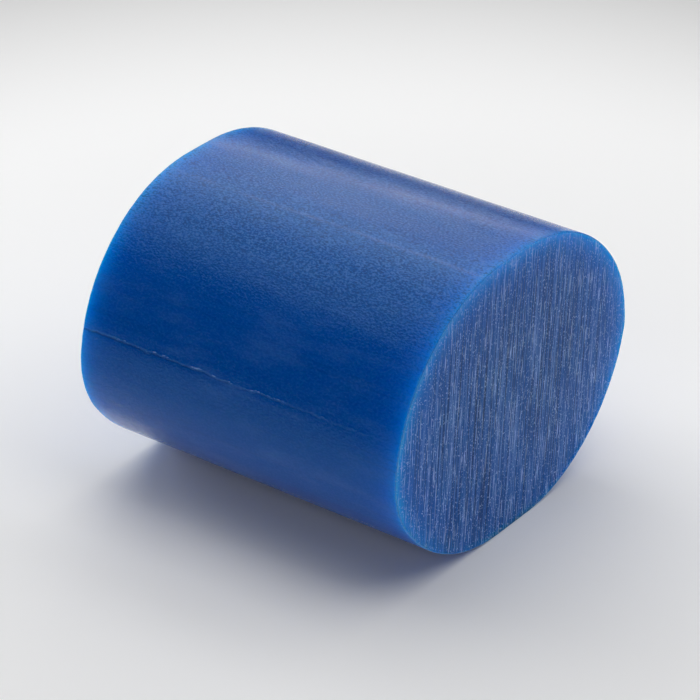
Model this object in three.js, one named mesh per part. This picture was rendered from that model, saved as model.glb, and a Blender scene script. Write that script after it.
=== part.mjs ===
// Solid oval bar of carving wax: a blank that a jeweller saws and carves bangles from.
// It is one homogeneous cast piece, sawn square at both ends, and it rests on a narrow flat.
//
// Frame, in millimetres: X runs along the bar, Y across its width and Z up. The origin lies on
// the surface that the bar rests on, under the middle of the bar.

import * as THREE from 'three';

// Driving dimensions.
const LENGTH = 74.6;
const WIDTH = 76.2;
const WIDEST_ABOVE_BASE = 27.8;
const TOP_ABOVE_WIDEST = 31.3;

// The section bulges unevenly. In each quadrant a side arc turns through some degrees from the
// widest point, and a shoulder arc carries on from it to the narrow flat on the top or the base.
const TOP_RIGHT_SIDE = { radius: 27, turn: 36 };
const TOP_LEFT_SIDE = { radius: 8, turn: 5 };
const BASE_LEFT_SIDE = { radius: 21, turn: 34 };
const BASE_RIGHT_SIDE = { radius: 8, turn: 13 };

// The mould's parting line is a fine raised seam along each side, above the widest level.
const SEAM_ABOVE_WIDEST = 7.55;
const SEAM_HEIGHT = 0.2;
const SEAM_WIDTH = 0.8;

// The sawn edges are barely broken.
const EDGE_BREAK = 0.3;

// The outline has one point for about this many degrees of turn.
const ARC_STEP = 2.5;

const WAX = { color: 0x1b4f93, roughness: 0.45, metalness: 0 };

// The point of an arc in one direction, in radians, and some distance outside it.
function pointOn(arc, angle, outside = 0) {
  const reach = arc.radius + outside;
  return new THREE.Vector2(
    arc.centre.x + reach * Math.cos(angle),
    arc.centre.y + reach * Math.sin(angle),
  );
}

// Points along part of an arc, with its first end but not its last.
function pointsAlong(arc, from, to) {
  const steps = Math.ceil((to - from) / THREE.MathUtils.degToRad(ARC_STEP));
  return Array.from({ length: steps }, (_, i) => pointOn(arc, from + ((to - from) * i) / steps));
}

// The side arc and shoulder arc of one quadrant. They meet smoothly, and the shoulder arc ends
// level at the quadrant's height, which counts from the widest level.
function quadrantArcs(side, height) {
  const turn = THREE.MathUtils.degToRad(side.turn);
  const sideArc = {
    centre: new THREE.Vector2(WIDTH / 2 - side.radius, 0),
    radius: side.radius,
    from: 0,
    to: turn,
  };
  const radius = (height - side.radius * Math.sin(turn)) / (1 - Math.sin(turn));
  const meeting = pointOn(sideArc, turn);
  const shoulderArc = {
    centre: new THREE.Vector2(meeting.x - radius * Math.cos(turn), height - radius),
    radius,
    from: turn,
    to: Math.PI / 2,
  };
  return [sideArc, shoulderArc];
}

// Points along a whole arc, with the seam's crest in it if the arc passes the seam's height.
function pointsWithSeam(arc) {
  const middle = Math.asin((SEAM_ABOVE_WIDEST - arc.centre.y) / arc.radius);
  if (!(middle > arc.from && middle < arc.to)) {
    return pointsAlong(arc, arc.from, arc.to);
  }
  const halfTurn = SEAM_WIDTH / 2 / arc.radius;
  return [
    ...pointsAlong(arc, arc.from, middle - halfTurn),
    pointOn(arc, middle - halfTurn),
    pointOn(arc, middle, SEAM_HEIGHT),
    ...pointsAlong(arc, middle + halfTurn, arc.to),
  ];
}

// One upper quadrant from its widest point to the edge of the top flat.
function topQuadrant(side) {
  const arcs = quadrantArcs(side, TOP_ABOVE_WIDEST);
  return [...arcs.flatMap(pointsWithSeam), pointOn(arcs[1], Math.PI / 2)];
}

// One lower quadrant from its widest point to the edge of the base flat, turned upside down.
// The widest point itself belongs to the upper quadrant.
function baseQuadrant(side) {
  const arcs = quadrantArcs(side, WIDEST_ABOVE_BASE);
  const points = arcs.flatMap((arc) => pointsAlong(arc, arc.from, arc.to));
  points.push(pointOn(arcs[1], Math.PI / 2));
  return points.slice(1).map((point) => new THREE.Vector2(point.x, -point.y));
}

function toTheLeft(points) {
  return points.map((point) => new THREE.Vector2(-point.x, point.y));
}

// The whole outline, anticlockwise from the widest point on the right, standing on its base.
function sectionShape() {
  const outline = [
    ...topQuadrant(TOP_RIGHT_SIDE),
    ...toTheLeft(topQuadrant(TOP_LEFT_SIDE)).reverse(),
    ...toTheLeft(baseQuadrant(BASE_LEFT_SIDE)),
    ...baseQuadrant(BASE_RIGHT_SIDE).reverse(),
  ];
  outline.forEach((point) => {
    point.y += WIDEST_ABOVE_BASE;
  });
  return new THREE.Shape(outline);
}

// The section is drawn in the YZ plane and carried along X, with both ends' edges broken.
function barGeometry() {
  const geometry = new THREE.ExtrudeGeometry(sectionShape(), {
    depth: LENGTH - 2 * EDGE_BREAK,
    bevelEnabled: true,
    bevelThickness: EDGE_BREAK,
    bevelSize: EDGE_BREAK,
    bevelOffset: -EDGE_BREAK,
    bevelSegments: 1,
  });
  geometry.translate(0, 0, EDGE_BREAK - LENGTH / 2);
  const alongY = new THREE.Vector3(0, 1, 0);
  const alongZ = new THREE.Vector3(0, 0, 1);
  const alongX = new THREE.Vector3(1, 0, 0);
  return geometry.applyMatrix4(new THREE.Matrix4().makeBasis(alongY, alongZ, alongX));
}

function waxBar() {
  const mesh = new THREE.Mesh(barGeometry(), new THREE.MeshStandardMaterial(WAX));
  mesh.name = 'wax_bar';
  return mesh;
}

const part = new THREE.Group();
part.add(waxBar());

export default part;
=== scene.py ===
"""The looks of a solid oval bar of blue carving wax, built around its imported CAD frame.

The bar is one piece: a smooth cast skin with a fine mould seam along each side, and two sawn
ends covered in parallel saw marks. Lengths are in millimetres, and MM turns them into metres.
X runs along the bar, Y across it and Z up, as in the CAD frame, and the front end is the one at
+X. A girth is a distance round the section, anticlockwise from the middle of the base flat with
+Y on the right.
"""

import math

import bpy
import numpy as np
from mathutils import Matrix, Vector
from mathutils.geometry import delaunay_2d_cdt


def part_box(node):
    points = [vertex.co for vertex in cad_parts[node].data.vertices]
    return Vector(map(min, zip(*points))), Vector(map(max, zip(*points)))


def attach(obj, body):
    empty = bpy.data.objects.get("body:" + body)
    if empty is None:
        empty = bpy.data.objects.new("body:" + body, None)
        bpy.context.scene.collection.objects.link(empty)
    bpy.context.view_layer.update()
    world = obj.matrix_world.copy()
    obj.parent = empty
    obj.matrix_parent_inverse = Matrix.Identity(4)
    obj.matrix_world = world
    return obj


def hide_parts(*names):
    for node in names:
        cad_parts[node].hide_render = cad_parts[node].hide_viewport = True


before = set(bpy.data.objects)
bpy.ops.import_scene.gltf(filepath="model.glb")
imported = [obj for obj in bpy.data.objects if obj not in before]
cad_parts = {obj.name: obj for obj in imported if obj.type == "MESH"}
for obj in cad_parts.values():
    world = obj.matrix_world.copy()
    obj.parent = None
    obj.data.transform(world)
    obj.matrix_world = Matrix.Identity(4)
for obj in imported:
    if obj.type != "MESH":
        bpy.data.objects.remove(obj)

MM = 0.001
NODE = "wax_bar"
BODY = "root"
SEED = 7

# The section, as in the CAD frame. In each quadrant a side arc starts at the widest point, and
# a shoulder arc ends level at a narrow flat: (radius of the side arc, its turn in degrees).
TOP_RIGHT_SIDE = (27.0, 36.0)
TOP_LEFT_SIDE = (8.0, 5.0)
BASE_LEFT_SIDE = (21.0, 34.0)
BASE_RIGHT_SIDE = (8.0, 13.0)
WIDEST_ABOVE_BASE = 27.8
SEAM_ABOVE_WIDEST = 7.55

# The spacing of the mesh: of the outline that it is taken from, round the section and near each
# line on it, along the bar, and across and along the saw marks of an end.
OUTLINE_SPACING = 0.05
GIRTH_SPACING = 0.75
LINE_SPACING = 0.09
LINE_REACH = 1.1
RING_SPACING = 0.38
SAW_SPACING = 0.16
SAW_ROW_SPACING = 3.2
ARRIS_STEPS = 4
GIRTH_TRIALS = 20000

# In what follows, a wander or a change is a table of (strength, pitch), for wanders() to add up.

# The skin's waves, their change along the bar, and the distance from the middle of the base over
# which they grow.
WAVE_HEIGHT = 0.03
WAVE_WANDER = ((1, 9.0), (0.35, 3.0))
WAVE_CHANGE = ((0.4, 24.0),)
WAVE_EASE = 12.0

# The small rounding of the sawn edges.
ARRIS_RADIUS = 0.22
ARRIS_WANDER = ((0.4, 0.9),)

# The mould seam: a ragged ridge, and below it a groove, placed and sized in ridge widths and
# deep as a share of the ridge.
SEAM_HEIGHT = 0.13
SEAM_RIDGE_WIDTH = 0.2
SEAM_WANDER = ((0.24, 7.0), (0.192, 1.1))
SEAM_MEAN = 0.3
SEAM_CHANGE = ((0.6, 3.0), (0.7, 0.8))
SEAM_LIMITS = (0, 1.2)
GROOVE_BELOW = 2.3
GROOVE_WIDTH = 1.4
GROOVE_DEPTH = 0.5

# The near seam's strength at the bar's middle, its loss from there to the front end and its
# limits, and the far seam's strength.
NEAR_SEAM_STRENGTH = 0.72
NEAR_SEAM_LOSS = 1 / 1.9
NEAR_SEAM_LIMITS = (0.2, 1)
FAR_SEAM_STRENGTH = 0.6

# The marks along the top: a drawn line, a slight crown and a streak of painted highlight, which
# drifts across as it goes; the drawn line carries some painted highlight too. Their places are
# girths back from the widest point on the -Y side.
LINE_FROM_WIDEST = 44.2
LINE_HEIGHT = 0.03
LINE_WIDTH = 0.5
LINE_WANDER = ((0.15, 9.0),)
LINE_MEAN = 0.7
LINE_CHANGE = ((0.3, 5.0),)
LINE_GAIN = 1 / 60
LINE_LIMITS = (0.2, 1.1)
LINE_HIGHLIGHT = 0.6
CROWN_FROM_WIDEST = 53.5
CROWN_HEIGHT = 0.08
CROWN_WIDTH = 4.5
HIGHLIGHT_FROM_WIDEST = 60.7
HIGHLIGHT_DRIFT = 0.1
HIGHLIGHT_WIDTH = 2.7

# The saw's grooves: each kind's strength and pitch across the saw's travel, then by how much and
# at what pitch it changes along it. They lean, and ease to nothing at the sawn edge.
SAW_DEPTH = 0.03
SAW_GROOVES = ((0.45, 0.55, 0.6, 7.0), (0.35, 1.6, 0.5, 12.0))
SAW_SWELL = ((0.6, 7.0),)
SAW_LEAN = math.radians(3.9)
SAW_EASE = 0.8

# The wax: deep blue where it is thick, with a painted glow of lit blue, then azure, near a cut
# edge.
DEEP_BLUE = (0.0, 0.085, 0.41)
LIT_BLUE = (0.0, 0.14, 0.80)
GLOW_AZURE = (0.0, 0.43, 0.90)
HAZED = (0.05, 0.17, 0.52)
# The pale colour of the painted highlight along the top.
PAINTED_HIGHLIGHT = (0.24, 0.30, 0.58)
WHITENED = (0.16, 0.31, 0.70)
BARE = (0.42, 0.60, 0.98)
SHADED = (0.0, 0.024, 0.14)

# How deep the painted glow reaches in from a sawn edge: the lit blue first, then the azure.
SKIN_GLOW_DEPTHS = (3.4, 1.4)
SAWN_GLOW_DEPTHS = (4.5, 1.6)

# How far light travels in the wax, in red, green and blue, and how the surface reflects it.
SCATTER_DEPTHS = (0.3, 2.0, 4.4)
WAX_IOR = 1.45
SPECULAR_LEVEL = 0.31
SPECULAR_TINT = (0.45, 1, 1, 1)
GRAIN_DEPTH = 0.075
SAW_LINE_DEPTH = 0.1

# The noises in the wax: each one's cell along X, Y and Z, its detail and its lean, if any.
STREAKS = ((45, 0.7, 0.7), 3.0)
CLOUDS = ((14, 4, 4), 4.0)
GRAIN = ((0.55, 0.35, 0.35), 2.5)
CHIPS = ((0.5, 0.4, 0.4), 1.0)
TEARS = ((0.9, 0.3, 0.3), 2.0)
SAW_BANDS = ((50, 2.2, 40), 2.0, SAW_LEAN)
SAW_LINES = ((50, 0.36, 24), 4.0, SAW_LEAN)
SAW_FLECKS = ((50, 0.26, 6.0), 2.0, SAW_LEAN)
SAW_DOTS = ((0.3, 0.26, 0.36), 0.0)

# The ramps: the value of a noise or a mark at which each one starts and ends, then what it gives
# at the one and at the other.
STREAK_SHADE = (0.5, 0.25, 0, 0.16)
CLOUD_HAZE = (0.45, 0.75, 0, 0.3)
GRAIN_SPECKS = (0.48, 0.65, 0, 0.75)
GRAIN_PITS = (0.52, 0.37, 0, 0.65)
HIGHLIGHT_PATCHES = (0.35, 0.6, 0.13, 0.3)
TORN = (0.45, 0.54, 0, 1)
SEAM_FLECKS = (0.25, 0.7, 0, 0.9)
SEAM_SHADE = (-0.12, -0.5, 0, 0.4)
BAND_WHITE = (0.35, 0.65, 0, 0.1)
LINE_SHADE = (0.5, 0.38, 0, 0.85)
LINE_WHITE = (0.52, 0.62, 0, 0.55)
BARE_FLECKS = (0.6, 0.68, 0, 0.9)
BARE_DOTS = (0.66, 0.76, 0, 0.7)
SKIN_ROUGHNESS = (0.3, 0.7, 0.11, 0.19)
GRAIN_ROUGHNESS = (0.3, 0.7, -0.02, 0.03)
SAWN_ROUGHNESS = (0.3, 0.7, 0.42, 0.6)

# More ramps, the first by place along X and the next three by height. The last is by distance
# from a sawn edge, to which the chips add up to their reach. FRONT_GLOW weakens the skin's
# painted glow towards the front end, and RIM_LIT weakens the sawn ends' painted glow low down.
FRONT_GLOW = (-20, 20, 1, 0.45)
SCUFFED = (46, 58.5, 0.2, 1)
CHIPPED = (45, 15, 0.2, 0.6)
RIM_LIT = (2, 24, 0.12, 0.85)
CHIP_REACH = 0.5
CHIP_EDGE = (0.3, 0.45, 1, 0)

# The camera: where it aims, from the bar's middle at its widest level, and how it looks there.
CAMERA_AZIMUTH = math.radians(36.8)
CAMERA_ELEVATION = math.radians(29.68)
CAMERA_DISTANCE = 659.2
CAMERA_LENS = 175.3
CAMERA_SENSOR = 36.0
CAMERA_RIGHT = -1.1
CAMERA_UP = -1.78

# The floor: pale from its middle as far as the fade's start, and grey from the fade's end.
FLOOR_SIZE = 6000.0
FLOOR_FADE = (150.0, 340.0)
FLOOR_PALE = (0.95, 0.95, 0.95)
FLOOR_GREY = (0.3, 0.3, 0.3)
FLOOR_ROUGHNESS = 0.8

# The panels of light stand on a tunnel of this radius round the bar's widest level, and reach
# along X from the bar's middle past its back end or its front end.
TENT_RADIUS = 700.0
BACK_REACH = (-900, 0)
FRONT_REACH = (0, 800)


class Bar:
    """The bar's main sizes, from its CAD node."""

    def __init__(self):
        low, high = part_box(NODE)
        self.half_length = (high.x - low.x) / 2 / MM
        self.half_width = (high.y - low.y) / 2 / MM
        self.top = high.z / MM - WIDEST_ABOVE_BASE
        self.base = WIDEST_ABOVE_BASE - low.z / MM


def bell(steps):
    """1 at 0, falling smoothly to almost nothing two steps away."""
    return np.exp(-(steps**2))


# ---------------------------------------------------------------- section


def quadrant(side, half_width, height):
    """One quadrant of the section, from its widest point to the edge of its flat."""
    radius, turn = side[0], math.radians(side[1])
    shoulder = (height - radius * math.sin(turn)) / (1 - math.sin(turn))
    side_angles = np.linspace(0, turn, math.ceil(turn * radius / OUTLINE_SPACING) + 1)
    steps = math.ceil((math.pi / 2 - turn) * shoulder / OUTLINE_SPACING)
    shoulder_angles = np.linspace(turn, math.pi / 2, steps + 1)[1:]
    centre_y = half_width - radius
    shift = (radius - shoulder) * math.cos(turn)
    y = np.concatenate([
        centre_y + radius * np.cos(side_angles),
        centre_y + shift + shoulder * np.cos(shoulder_angles),
    ])
    z = np.concatenate([
        radius * np.sin(side_angles),
        height - shoulder + shoulder * np.sin(shoulder_angles),
    ])
    return np.column_stack([y, z])


class Section:
    """The oval outline by girth, and the girths of the lines that run along the bar."""

    def __init__(self, bar):
        outline = np.vstack([
            [[0, -bar.base]],
            quadrant(BASE_RIGHT_SIDE, bar.half_width, bar.base)[::-1] * [1, -1],
            quadrant(TOP_RIGHT_SIDE, bar.half_width, bar.top)[1:],
            quadrant(TOP_LEFT_SIDE, bar.half_width, bar.top)[::-1] * [-1, 1],
            quadrant(BASE_LEFT_SIDE, bar.half_width, bar.base)[1:] * [-1, -1],
            [[0, -bar.base]],
        ])
        steps = np.linalg.norm(np.diff(outline, axis=0), axis=1)
        self.outline = outline + [0, WIDEST_ABOVE_BASE]
        self.girths = np.concatenate([[0], np.cumsum(steps)])
        self.length = self.girths[-1]
        self.seams = {side: self.girth_at_seam(side) for side in (1, -1)}
        widest = self.girths[outline[:, 0].argmin()]
        self.drawn_line = widest - LINE_FROM_WIDEST
        self.crown = widest - CROWN_FROM_WIDEST
        self.rub = widest - HIGHLIGHT_FROM_WIDEST

    def girth_at_seam(self, side):
        """Where the seam of one side, +1 or -1 along Y, lies round the section."""
        off_side = self.outline[:, 0] * side < 0
        off_height = np.abs(self.outline[:, 1] - WIDEST_ABOVE_BASE - SEAM_ABOVE_WIDEST)
        return self.girths[np.where(off_side, np.inf, off_height).argmin()]

    def points(self, girths):
        around = np.mod(girths, self.length)
        y = np.interp(around, self.girths, self.outline[:, 0])
        z = np.interp(around, self.girths, self.outline[:, 1])
        return np.column_stack([y, z])

    def normals(self, girths):
        along = self.points(girths + OUTLINE_SPACING) - self.points(girths - OUTLINE_SPACING)
        along /= np.linalg.norm(along, axis=1)[:, None]
        return np.column_stack([along[:, 1], -along[:, 0]])

    def samples(self):
        """The mesh's girths, close together at the seams and the drawn line."""
        fine = np.linspace(0, self.length, GIRTH_TRIALS)
        spacing = np.full(fine.size, GIRTH_SPACING)
        for line in (*self.seams.values(), self.drawn_line):
            near = bell((fine - line) / LINE_REACH)
            spacing = np.minimum(spacing, GIRTH_SPACING - (GIRTH_SPACING - LINE_SPACING) * near)
        count = np.concatenate([[0], np.cumsum(np.diff(fine) / spacing[1:])])
        whole = int(count[-1])
        return np.interp(np.arange(whole) * count[-1] / whole, count, fine)


# ---------------------------------------------------------------- relief


def wander(rng, at, pitch):
    """Smooth random wandering between -1 and 1 along a line, with a knot at each pitch."""
    start = at.min()
    knots = rng.uniform(-1, 1, int((at.max() - start) / pitch) + 3)
    steps = (at - start) / pitch
    left = steps.astype(int)
    blend = steps - left
    blend = blend * blend * (3 - 2 * blend)
    return knots[left] * (1 - blend) + knots[left + 1] * blend


def wanders(rng, at, table):
    """The sum of a table's wanderings along a line, each given as (strength, pitch)."""
    return sum(strength * wander(rng, at, pitch) for strength, pitch in table)


def skin_waves(rng, x, girths, section):
    """The slight waviness of the cast skin, drawn out along the bar."""
    waves = WAVE_HEIGHT * wanders(rng, girths, WAVE_WANDER)[None, :]
    waves = waves * (1 + wanders(rng, x, WAVE_CHANGE)[:, None])
    from_base = np.minimum(girths, section.length - girths)
    return waves * np.clip(from_base / WAVE_EASE, 0, 1)[None, :]


def drawn_line(rng, x, girths, section):
    """A fine line along the top, about 1 on it and 0 off it, stronger towards the front."""
    middle = section.drawn_line - wanders(rng, x, LINE_WANDER)[:, None]
    change = wanders(rng, x, LINE_CHANGE) + LINE_GAIN * x
    strength = np.clip(LINE_MEAN + change, *LINE_LIMITS)
    return strength[:, None] * bell((girths - middle) / LINE_WIDTH)


def seam_profile(rng, x, girths, seam, side):
    """One seam's shape, about 1 on its ragged ridge and below 0 in the groove beneath it."""
    middle = seam + wanders(rng, x, SEAM_WANDER)
    ragged = np.clip(SEAM_MEAN + wanders(rng, x, SEAM_CHANGE), *SEAM_LIMITS)
    below = -side * (girths[None, :] - middle[:, None]) / SEAM_RIDGE_WIDTH
    groove = bell((below - GROOVE_BELOW) / GROOVE_WIDTH)
    return bell(below) * ragged[:, None] - GROOVE_DEPTH * groove


def both_seams(rng, x, girths, section):
    """The seams' shape all over the skin, the near one fading towards the front end."""
    fade = np.clip(NEAR_SEAM_STRENGTH - NEAR_SEAM_LOSS * x / x.max(), *NEAR_SEAM_LIMITS)
    near = seam_profile(rng, x, girths, section.seams[-1], -1) * fade[:, None]
    far = seam_profile(rng, x, girths, section.seams[1], 1) * FAR_SEAM_STRENGTH
    return near + far


def skin_relief(rng, x, girths, section):
    """The skin's relief at each ring and girth, and the marks of the seams and the painted
    highlight.
    """
    waves = skin_waves(rng, x, girths, section)
    line = drawn_line(rng, x, girths, section)
    seam = both_seams(rng, x, girths, section)
    crown = bell((girths - section.crown) / CROWN_WIDTH)[None, :]
    streak = bell((girths - section.rub + HIGHLIGHT_DRIFT * x[:, None]) / HIGHLIGHT_WIDTH)
    relief = waves + LINE_HEIGHT * line + CROWN_HEIGHT * crown + SEAM_HEIGHT * seam
    return relief, {"seam_mark": seam, "highlight_mark": streak + LINE_HIGHLIGHT * line}


def saw_relief(rng, y, z):
    """How far a sawn end stands out: grooves of two kinds and a broad swell across them."""
    across = y * math.cos(SAW_LEAN) - z * math.sin(SAW_LEAN)
    along = y * math.sin(SAW_LEAN) + z * math.cos(SAW_LEAN)
    relief = 0
    for strength, pitch, change, change_pitch in SAW_GROOVES:
        groove = strength * wander(rng, across, pitch)
        relief = relief + groove * (1 + change * wander(rng, along, change_pitch))
    return SAW_DEPTH * (relief + wanders(rng, across, SAW_SWELL))


# ---------------------------------------------------------------- mesh


def ring_stations(bar):
    """Each ring's (x, inset), from one end to the other, with the sawn edges rounded."""
    turns = np.linspace(0, math.pi / 2, ARRIS_STEPS)
    arris_x = bar.half_length - ARRIS_RADIUS * (1 - np.cos(turns))
    arris_inset = ARRIS_RADIUS * (1 - np.sin(turns))
    straight = bar.half_length - ARRIS_RADIUS
    count = round(2 * straight / RING_SPACING)
    middle_x = np.linspace(-straight, straight, count + 1)[1:-1]
    x = np.concatenate([-arris_x, middle_x, arris_x[::-1]])
    inset = np.concatenate([arris_inset, np.zeros(middle_x.size), arris_inset[::-1]])
    return x, inset


def bar_rings(rng, bar, section, girths):
    """Every ring's vertices, and at each the marks on it and how far the sawn edge is."""
    x, inset = ring_stations(bar)
    relief, marks = skin_relief(rng, x, girths, section)
    relief -= inset[:, None] * (1 + wanders(rng, girths, ARRIS_WANDER)[None, :])
    outline, normals = section.points(girths), section.normals(girths)
    vertices = np.empty((x.size, girths.size, 3))
    vertices[:, :, 0] = x[:, None]
    vertices[:, :, 1:] = outline[None] + relief[:, :, None] * normals[None]
    distance = np.repeat((bar.half_length - np.abs(x))[:, None], girths.size, axis=1)
    return vertices, {"cut_distance": distance, **marks}


def inside_points(ring):
    """A grid of points inside an end's ring, close together across the saw marks."""
    low, high = ring.min(0), ring.max(0)
    by_y = ring[np.argsort(ring[:, 0])]
    top = by_y[by_y[:, 1] > WIDEST_ABOVE_BASE]
    base = by_y[by_y[:, 1] <= WIDEST_ABOVE_BASE]
    points = []
    for y in np.arange(low[0] + SAW_SPACING, high[0] - SAW_SPACING / 2, SAW_SPACING):
        ceiling = np.interp(y, top[:, 0], top[:, 1])
        floor = np.interp(y, base[:, 0], base[:, 1])
        rows = max(1, round((ceiling - floor) / SAW_ROW_SPACING))
        heights = floor + (ceiling - floor) * (np.arange(rows) + 0.5) / rows
        points.append(np.column_stack([np.full(rows, y), heights]))
    return np.vstack(points)


def distance_to_ring(points, ring):
    """How far each inside point is from the nearest ring vertex."""
    gaps = points[:, None, :] - ring[None, :, :]
    return np.sqrt((gaps**2).sum(2).min(1))


def sawn_end(rng, bar, ring, end):
    """The vertices inside the ring of one end, -1 or +1 along X, and how far the edge is."""
    inside = inside_points(ring)
    depth = distance_to_ring(inside, ring)
    relief = saw_relief(rng, inside[:, 0], inside[:, 1]) * np.clip(depth / SAW_EASE, 0, 1)
    return np.column_stack([end * (bar.half_length + relief), inside]), depth


def cap_faces(ring, inside):
    """Triangles that fill an end's ring through its inside points, by index into both."""
    points = [Vector(p) for p in np.vstack([ring, inside])]
    count = len(ring)
    edges = [(i, (i + 1) % count) for i in range(count)]
    placed, _, faces, origins, _, _ = delaunay_2d_cdt(points, edges, [], 1, 1e-6)
    if len(placed) != len(points):
        raise RuntimeError("an end's mesh gained or lost points")
    source = [origin[0] for origin in origins]
    return [[source[i] for i in face] for face in faces]


def side_faces(rings, around):
    """Quads between neighbouring rings. They face into the bar, and the ends' triangles out."""
    start = np.arange(rings - 1)[:, None] * around
    here = np.arange(around)[None, :]
    after = (here + 1) % around
    corners = [start + here, start + after, start + around + after, start + around + here]
    return np.stack(corners, axis=2).reshape(-1, 4)[:, ::-1].tolist()


def over_the_ends(marks, depths):
    """The rings' marks with the ends' vertices added: their distance in, and no other mark."""
    depth = np.concatenate(depths)
    ends = {"cut_distance": depth}
    blank = np.zeros(depth.size)
    return {name: np.concatenate([values.ravel(), ends.get(name, blank)])
            for name, values in marks.items()}


def bar_mesh(bar):
    """The whole bar as one closed mesh, its sawn faces in the second material slot."""
    rng = np.random.default_rng(SEED)
    section = Section(bar)
    rings, marks = bar_rings(rng, bar, section, section.samples())
    count, around = rings.shape[:2]
    faces = side_faces(count, around)
    slots = [0] * len(faces)
    vertices, depths = [rings.reshape(-1, 3)], []
    used = count * around
    for end, first in ((-1, 0), (1, used - around)):
        ring = vertices[0][first:first + around, 1:]
        flat, depth = sawn_end(rng, bar, ring, end)
        index = [*range(first, first + around), *range(used, used + len(flat))]
        triangles = cap_faces(ring, flat[:, 1:])
        faces += [[index[i] for i in triangle[::end]] for triangle in triangles]
        slots += [1] * len(triangles)
        vertices.append(flat)
        depths.append(depth)
        used += len(flat)
    return np.vstack(vertices), faces, slots, over_the_ends(marks, depths)


def make_bar(bar, skin, sawn):
    """The bar's object, with what its materials need to know as mesh attributes."""
    vertices, faces, slots, attributes = bar_mesh(bar)
    mesh = bpy.data.meshes.new("wax_bar_surface")
    mesh.from_pydata((vertices * MM).tolist(), [], faces)
    mesh.materials.append(skin)
    mesh.materials.append(sawn)
    mesh.polygons.foreach_set("material_index", slots)
    mesh.polygons.foreach_set("use_smooth", [True] * len(faces))
    for name, values in attributes.items():
        attribute = mesh.attributes.new(name, "FLOAT", "POINT")
        attribute.data.foreach_set("value", values.astype(np.float32))
    mesh.validate()
    mesh.update()
    piece = bpy.data.objects.new("wax_bar_surface", mesh)
    bpy.context.scene.collection.objects.link(piece)
    return piece


# ---------------------------------------------------------------- materials


class Nodes:
    """A short way to build one material's nodes."""

    def __init__(self, name):
        self.material = bpy.data.materials.new(name)
        self.material.use_nodes = True
        self.tree = self.material.node_tree
        self.shader = self.tree.nodes["Principled BSDF"]

    def add(self, kind, inputs=None, **settings):
        """A node with some settings and inputs, each a plain value or another node's output."""
        node = self.tree.nodes.new(kind)
        for name, value in settings.items():
            setattr(node, name, value)
        for name, value in (inputs or {}).items():
            self.feed(node.inputs[name], value)
        return node

    def feed(self, socket, value):
        if isinstance(value, bpy.types.NodeSocket):
            self.tree.links.new(value, socket)
        else:
            socket.default_value = value

    def surface(self, colour, roughness, normal):
        self.feed(self.shader.inputs["Base Color"], colour)
        self.feed(self.shader.inputs["Roughness"], roughness)
        self.feed(self.shader.inputs["Normal"], normal)

    def maths(self, operation, first, second=0.0):
        inputs = {0: first, 1: second}
        return self.add("ShaderNodeMath", inputs, operation=operation).outputs[0]

    def noise(self, cell, detail, lean=0.0):
        """Noise with cells of that size in millimetres, leaning from Z towards +Y."""
        place = self.add("ShaderNodeTexCoord").outputs["Object"]
        scale = [length * MM for length in cell]
        inputs = {"Vector": place, "Rotation": (-lean, 0, 0), "Scale": scale}
        place = self.add("ShaderNodeMapping", inputs, vector_type="TEXTURE").outputs[0]
        inputs = {"Vector": place, "Scale": 1.0, "Detail": detail}
        return self.add("ShaderNodeTexNoise", inputs).outputs["Fac"]

    def ramp(self, value, low, high, to_low, to_high):
        """Maps low to to_low and high to to_high, smoothly and clamped."""
        inputs = {"Value": value, "From Min": low, "From Max": high}
        inputs.update({"To Min": to_low, "To Max": to_high})
        node = self.add("ShaderNodeMapRange", inputs, interpolation_type="SMOOTHSTEP")
        return node.outputs[0]

    def mix(self, factor, first, second):
        """A mix of two colours, which are a mix node's inputs 6 and 7 and its output 2."""
        node = self.add("ShaderNodeMix", {"Factor": factor}, data_type="RGBA")
        for socket, value in ((node.inputs[6], first), (node.inputs[7], second)):
            self.feed(socket, (*value, 1) if isinstance(value, tuple) else value)
        return node.outputs[2]

    def tint(self, colour, tint, value, ramp):
        """A colour mixed towards a tint, by a ramp of a value."""
        return self.mix(self.ramp(value, *ramp), colour, tint)

    def attribute(self, name):
        return self.add("ShaderNodeAttribute", attribute_name=name).outputs["Fac"]

    def place(self, axis):
        """The place along an axis of the shared frame, in millimetres."""
        place = self.add("ShaderNodeTexCoord").outputs["Object"]
        place = self.add("ShaderNodeSeparateXYZ", {"Vector": place}).outputs[axis]
        return self.maths("DIVIDE", place, MM)

    def glow(self, depth, strength):
        """A strength of painted glow at a sawn edge, fading over a depth in millimetres, as light
        in wax does.
        """
        ratio = self.maths("DIVIDE", self.attribute("cut_distance"), -depth)
        return self.maths("MULTIPLY", self.maths("EXPONENT", ratio), strength)

    def bump(self, height, distance):
        inputs = {"Height": height, "Strength": 1.0, "Distance": distance * MM}
        return self.add("ShaderNodeBump", inputs).outputs["Normal"]


def translucent(shader):
    """The settings that skin and sawn ends share: light travels some millimetres in wax."""
    shader.inputs["IOR"].default_value = WAX_IOR
    shader.inputs["Specular IOR Level"].default_value = SPECULAR_LEVEL
    shader.inputs["Specular Tint"].default_value = SPECULAR_TINT
    shader.inputs["Subsurface Weight"].default_value = 1.0
    shader.inputs["Subsurface Radius"].default_value = SCATTER_DEPTHS
    shader.inputs["Subsurface Scale"].default_value = MM


def skin_wax(nodes, clouds):
    """The wax under the skin: streaked and clouded, with a painted glow near a sawn edge."""
    colour = nodes.mix(nodes.glow(SKIN_GLOW_DEPTHS[0], 1.0), DEEP_BLUE, LIT_BLUE)
    strength = nodes.ramp(nodes.place("X"), *FRONT_GLOW)
    colour = nodes.mix(nodes.glow(SKIN_GLOW_DEPTHS[1], strength), colour, GLOW_AZURE)
    colour = nodes.tint(colour, SHADED, nodes.noise(*STREAKS), STREAK_SHADE)
    return nodes.tint(colour, HAZED, clouds, CLOUD_HAZE)


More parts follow.
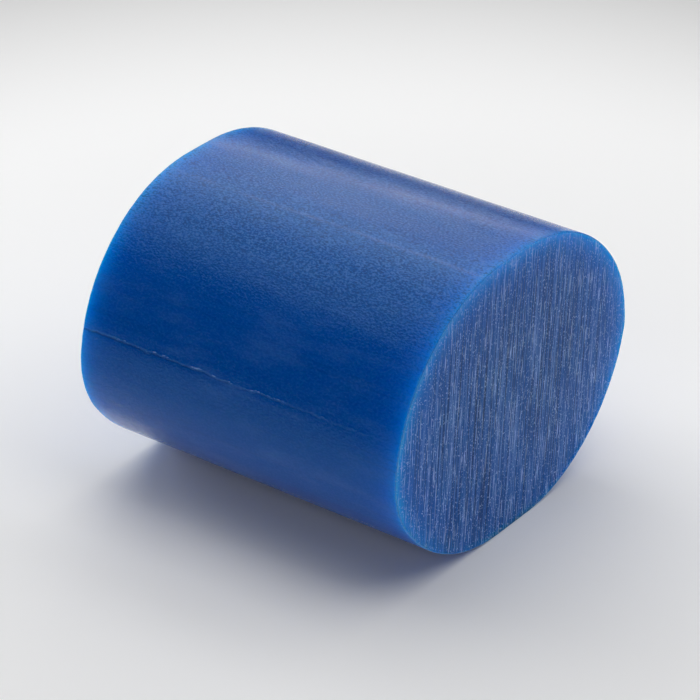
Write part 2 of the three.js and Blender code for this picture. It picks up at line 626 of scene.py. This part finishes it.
def with_grain(nodes, colour, grain):
    """Pale specks and dark pits, most of them on the scuffed top."""
    scuffed = nodes.ramp(nodes.place("Z"), *SCUFFED)
    specks = nodes.maths("MULTIPLY", nodes.ramp(grain, *GRAIN_SPECKS), scuffed)
    pits = nodes.maths("MULTIPLY", nodes.ramp(grain, *GRAIN_PITS), scuffed)
    return nodes.mix(pits, nodes.mix(specks, colour, HAZED), SHADED)


def with_painted_highlight(nodes, colour, clouds):
    """A painted highlight: a pale streak and line along the top, in patches."""
    patches = nodes.ramp(clouds, *HIGHLIGHT_PATCHES)
    highlighted = nodes.maths("MULTIPLY", nodes.attribute("highlight_mark"), patches)
    return nodes.mix(highlighted, colour, PAINTED_HIGHLIGHT)


def with_chipped_edge(nodes, colour):
    """A ragged whitened line at each sawn edge, stronger low down."""
    ragged = nodes.maths("MULTIPLY", nodes.noise(*CHIPS), CHIP_REACH)
    edge = nodes.maths("ADD", nodes.attribute("cut_distance"), ragged)
    strength = nodes.ramp(nodes.place("Z"), *CHIPPED)
    chipped = nodes.maths("MULTIPLY", nodes.ramp(edge, *CHIP_EDGE), strength)
    return nodes.mix(chipped, colour, WHITENED)


def with_seam(nodes, colour):
    """Torn, whitened flecks on the seam's ridge, and shade in its groove."""
    seam = nodes.attribute("seam_mark")
    torn = nodes.ramp(nodes.noise(*TEARS), *TORN)
    flecks = nodes.maths("MULTIPLY", nodes.ramp(seam, *SEAM_FLECKS), torn)
    return nodes.tint(nodes.mix(flecks, colour, WHITENED), SHADED, seam, SEAM_SHADE)


def skin_material():
    """The cast skin: satin, streaked, faintly grained and translucent."""
    nodes = Nodes("wax_skin")
    translucent(nodes.shader)
    clouds, grain = nodes.noise(*CLOUDS), nodes.noise(*GRAIN)
    colour = with_grain(nodes, skin_wax(nodes, clouds), grain)
    colour = with_painted_highlight(nodes, colour, clouds)
    colour = with_seam(nodes, with_chipped_edge(nodes, colour))
    satin, rough = nodes.ramp(clouds, *SKIN_ROUGHNESS), nodes.ramp(grain, *GRAIN_ROUGHNESS)
    nodes.surface(colour, nodes.maths("ADD", satin, rough), nodes.bump(grain, GRAIN_DEPTH))
    return nodes.material


def sawn_wax(nodes, lines):
    """The wax of a sawn end: broad bands, fine dark and whitened lines, and a painted glow at the
    rim.
    """
    colour = nodes.tint(DEEP_BLUE, WHITENED, nodes.noise(*SAW_BANDS), BAND_WHITE)
    colour = nodes.tint(colour, SHADED, lines, LINE_SHADE)
    colour = nodes.tint(colour, WHITENED, lines, LINE_WHITE)
    lit = nodes.ramp(nodes.place("Z"), *RIM_LIT)
    for depth, tint in zip(SAWN_GLOW_DEPTHS, (LIT_BLUE, GLOW_AZURE)):
        colour = nodes.mix(nodes.glow(depth, lit), colour, tint)
    return colour


def with_flecks(nodes, colour):
    """Short bare dashes along the saw lines, and scattered bare dots."""
    colour = nodes.tint(colour, BARE, nodes.noise(*SAW_FLECKS), BARE_FLECKS)
    return nodes.tint(colour, BARE, nodes.noise(*SAW_DOTS), BARE_DOTS)


def sawn_material():
    """A sawn end: rough, lined by the saw, with scattered flecks and a painted glow at the rim.
    """
    nodes = Nodes("wax_sawn")
    translucent(nodes.shader)
    lines = nodes.noise(*SAW_LINES)
    colour = with_flecks(nodes, sawn_wax(nodes, lines))
    nodes.surface(colour, nodes.ramp(lines, *SAWN_ROUGHNESS), nodes.bump(lines, SAW_LINE_DEPTH))
    return nodes.material


# ---------------------------------------------------------------- surroundings


def floor_material():
    """Matt paper, pale under the bar and grey in the distance."""
    nodes = Nodes("floor_paper")
    place = nodes.add("ShaderNodeTexCoord").outputs["Object"]
    away = nodes.add("ShaderNodeVectorMath", {0: place}, operation="LENGTH").outputs["Value"]
    fade = nodes.ramp(away, FLOOR_FADE[0] * MM, FLOOR_FADE[1] * MM, 0, 1)
    nodes.feed(nodes.shader.inputs["Base Color"], nodes.mix(fade, FLOOR_PALE, FLOOR_GREY))
    nodes.feed(nodes.shader.inputs["Roughness"], FLOOR_ROUGHNESS)
    return nodes.material


def make_floor():
    bpy.ops.mesh.primitive_plane_add(size=FLOOR_SIZE * MM, location=(0, 0, 0))
    floor = bpy.context.object
    floor.name = "floor"
    floor.data.materials.append(floor_material())


def make_lamp(name, place, aim, size, radiance, along=(0, 1, 0)):
    """A soft rectangular lamp, its first side turned along a direction, in millimetres."""
    back = (Vector(place) - Vector(aim)).normalized()
    across = back.cross(Vector(along)).normalized()
    light = bpy.data.lights.new(name, "AREA")
    light.shape = "RECTANGLE"
    light.size = size[0] * MM
    light.size_y = size[1] * MM
    light.energy = math.pi * radiance * light.size * light.size_y
    lamp = bpy.data.objects.new(name, light)
    lamp.location = Vector(place) * MM
    lamp.rotation_euler = Matrix((across.cross(back), across, back)).transposed().to_euler()
    bpy.context.scene.collection.objects.link(lamp)


def make_panel(name, angles, reach, radiance):
    """A lamp along X, between two angles round the bar from +Y towards +Z, in degrees.

    reach is its two ends along X.
    """
    middle = math.radians(sum(angles) / 2)
    width = 2 * TENT_RADIUS * math.tan(math.radians(abs(angles[1] - angles[0])) / 2)
    y = TENT_RADIUS * math.cos(middle)
    z = TENT_RADIUS * math.sin(middle) + WIDEST_ABOVE_BASE
    x = sum(reach) / 2
    size = (reach[1] - reach[0], width)
    make_lamp(name, (x, y, z), (x, 0, WIDEST_ABOVE_BASE), size, radiance, (1, 0, 0))


def make_lights():
    """A light tent over the bar's back end, brightest on its +Y side, then the other lamps."""
    make_panel("tent_front", (121, 110), BACK_REACH, 0.6)
    make_panel("tent_high_front", (110, 98), BACK_REACH, 1.5)
    make_panel("tent_top", (98, 74), BACK_REACH, 1.4)
    make_panel("tent_high_back", (74, 62), BACK_REACH, 2.0)
    make_panel("tent_back", (62, 50), BACK_REACH, 2.8)
    make_panel("tent_low_back", (50, 38), BACK_REACH, 1.3)
    make_panel("tent_edge", (38, 27), BACK_REACH, 0.5)
    make_panel("fill_back", (60, 20), FRONT_REACH, 1.25)
    make_panel("fill_top", (100, 70), FRONT_REACH, 1.65)
    make_panel("fill_front", (175, 135), FRONT_REACH, 1.0)
    make_lamp("back_fill", (-800, -50, 250), (0, 0, 30), (500, 400), 2.6)
    make_lamp("window", (-425, 636, 305), (0, 0, 45), (300, 34), 6.6, (150, 73, -168))


def make_world():
    """A black world, so that the lamps give all the light."""
    world = bpy.data.worlds.new("studio")
    world.use_nodes = True
    world.node_tree.nodes["Background"].inputs["Color"].default_value = (0, 0, 0, 1)
    bpy.context.scene.world = world


def make_camera():
    sine, cosine = math.sin(CAMERA_AZIMUTH), math.cos(CAMERA_AZIMUTH)
    level, rise = math.cos(CAMERA_ELEVATION), math.sin(CAMERA_ELEVATION)
    back = Vector((sine * level, -cosine * level, rise))
    right = Vector((cosine, sine, 0))
    aim = Vector((0, 0, WIDEST_ABOVE_BASE)) + right * CAMERA_RIGHT + back.cross(right) * CAMERA_UP
    data = bpy.data.cameras.new("camera")
    data.lens = CAMERA_LENS
    data.sensor_width = CAMERA_SENSOR
    camera = bpy.data.objects.new("camera", data)
    camera.location = (aim + back * CAMERA_DISTANCE) * MM
    camera.rotation_euler = (-back).to_track_quat("-Z", "Y").to_euler()
    bpy.context.scene.collection.objects.link(camera)
    bpy.context.scene.camera = camera


def corners(box):
    return [list(corner) for corner in box]


def main():
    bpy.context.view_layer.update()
    make_camera()
    make_lights()
    make_world()
    make_floor()
    piece = make_bar(Bar(), skin_material(), sawn_material())
    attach(piece, BODY)
    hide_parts(NODE)
    bpy.context.scene.view_settings.view_transform = "Standard"


main()
